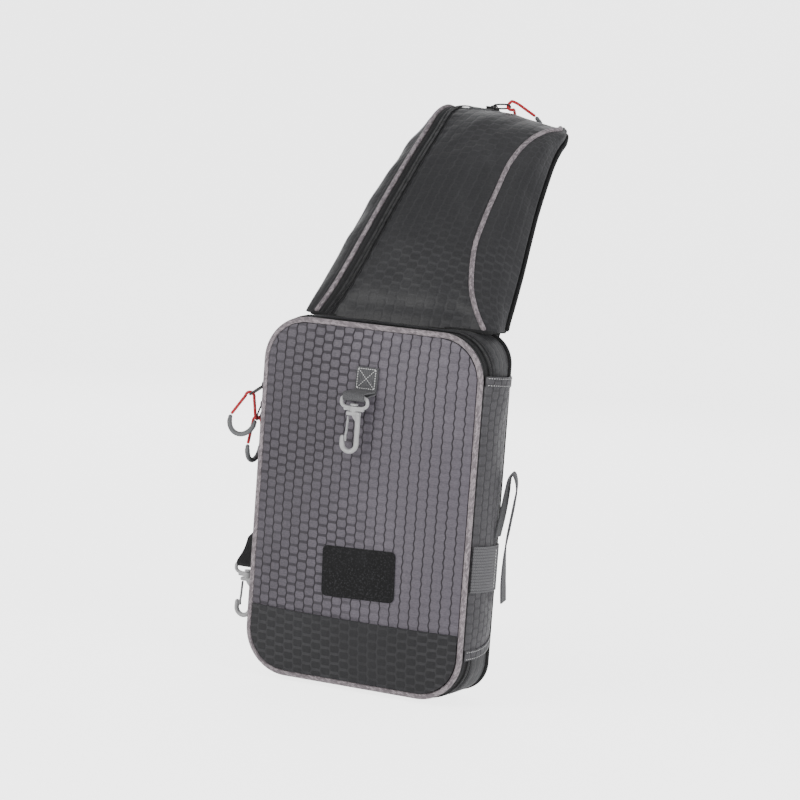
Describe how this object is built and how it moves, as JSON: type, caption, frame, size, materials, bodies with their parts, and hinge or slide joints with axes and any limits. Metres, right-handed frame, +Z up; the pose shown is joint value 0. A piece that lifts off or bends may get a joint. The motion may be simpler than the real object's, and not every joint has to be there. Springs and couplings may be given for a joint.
{
  "type": "fishing tackle sling bag",
  "caption": "Slim zipped tackle bag with a side pocket, snap hooks and one wide shoulder strap that carries a zipped pouch.",
  "frame": {"origin": "under the shoulder pad where its underside is highest, where the bag hangs from a shoulder", "axes": "+Z up, -Y out of the front panel, +X to the right of someone who looks at the front"},
  "size_m": [0.2624, 0.3183, 0.4997],
  "materials": {
    "grey_cloth": "coated block-weave polyester cloth, dull sheen",
    "black_cloth": "coated block-weave polyester cloth, dull sheen",
    "melange_piping": "mottled grey woven piping",
    "zip_tape": "herringbone zip tape",
    "zip_coil": "nylon coil",
    "grey_webbing": "woven polyester webbing",
    "black_webbing": "woven polyester webbing",
    "front_patch": "bare grained moulded patch",
    "grey_plastic": "moulded acetal, satin",
    "black_plastic": "moulded acetal, satin",
    "slider_metal": "black enamelled zip sliders",
    "red_cord": "braided cord",
    "grip_rubber": "soft moulded cord grips"
  },
  "bodies": {
    "bag": {"front_panel": "grey_cloth", "side_pocket": "grey_cloth", "pocket_hem": "grey_cloth", "pocket_foot": "grey_cloth", "base_panel": "black_cloth", "front_band": "black_cloth", "main_gusset": "black_cloth", "back_panel": "black_cloth", "shoulder_pad": "black_cloth", "strap_face": "black_cloth", "strap_side_left": "black_cloth", "strap_side_right": "black_cloth", "front_piping": "melange_piping", "strap_piping_left": "melange_piping", "strap_piping_right": "melange_piping", "zip_tape": "zip_tape", "strap_zip_tape": "zip_tape", "back_binding": "zip_tape", "zip_coil": "zip_coil", "strap_zip_coil": "zip_coil", "front_tab": "grey_webbing", "side_tab": "grey_webbing", "side_band": "grey_webbing", "utility_strap": "grey_webbing", "rear_webbing_upper": "black_webbing", "rear_webbing_lower": "black_webbing", "anchor_patch": "black_webbing", "front_patch": "front_patch", "front_ring": "grey_plastic", "side_ring": "grey_plastic", "strap_buckle": "black_plastic", "pull_upper": "black_plastic", "pull_lower": "black_plastic", "pull_strap": "black_plastic", "slider_upper": "slider_metal", "slider_lower": "slider_metal", "slider_strap": "slider_metal", "cord_upper": "red_cord", "cord_lower": "red_cord", "cord_strap": "red_cord", "grip_upper": "grip_rubber", "grip_lower": "grip_rubber", "grip_strap": "grip_rubber"},
    "front_swivel": {"front_hook": "grey_plastic", "front_gate": "grey_plastic"},
    "side_swivel": {"side_hook": "grey_plastic", "side_gate": "grey_plastic"}
  },
  "joints": [
    {"name": "front_hook_turn", "type": "hinge", "parent": "bag", "child": "front_swivel", "pos_m": [-0.0047, -0.24558, -0.23651], "axis": [0, 0, 1], "continuous": true},
    {"name": "side_hook_turn", "type": "hinge", "parent": "bag", "child": "side_swivel", "pos_m": [-0.12, -0.20118, -0.40351], "axis": [0, 0, 1], "continuous": true}
  ]
}
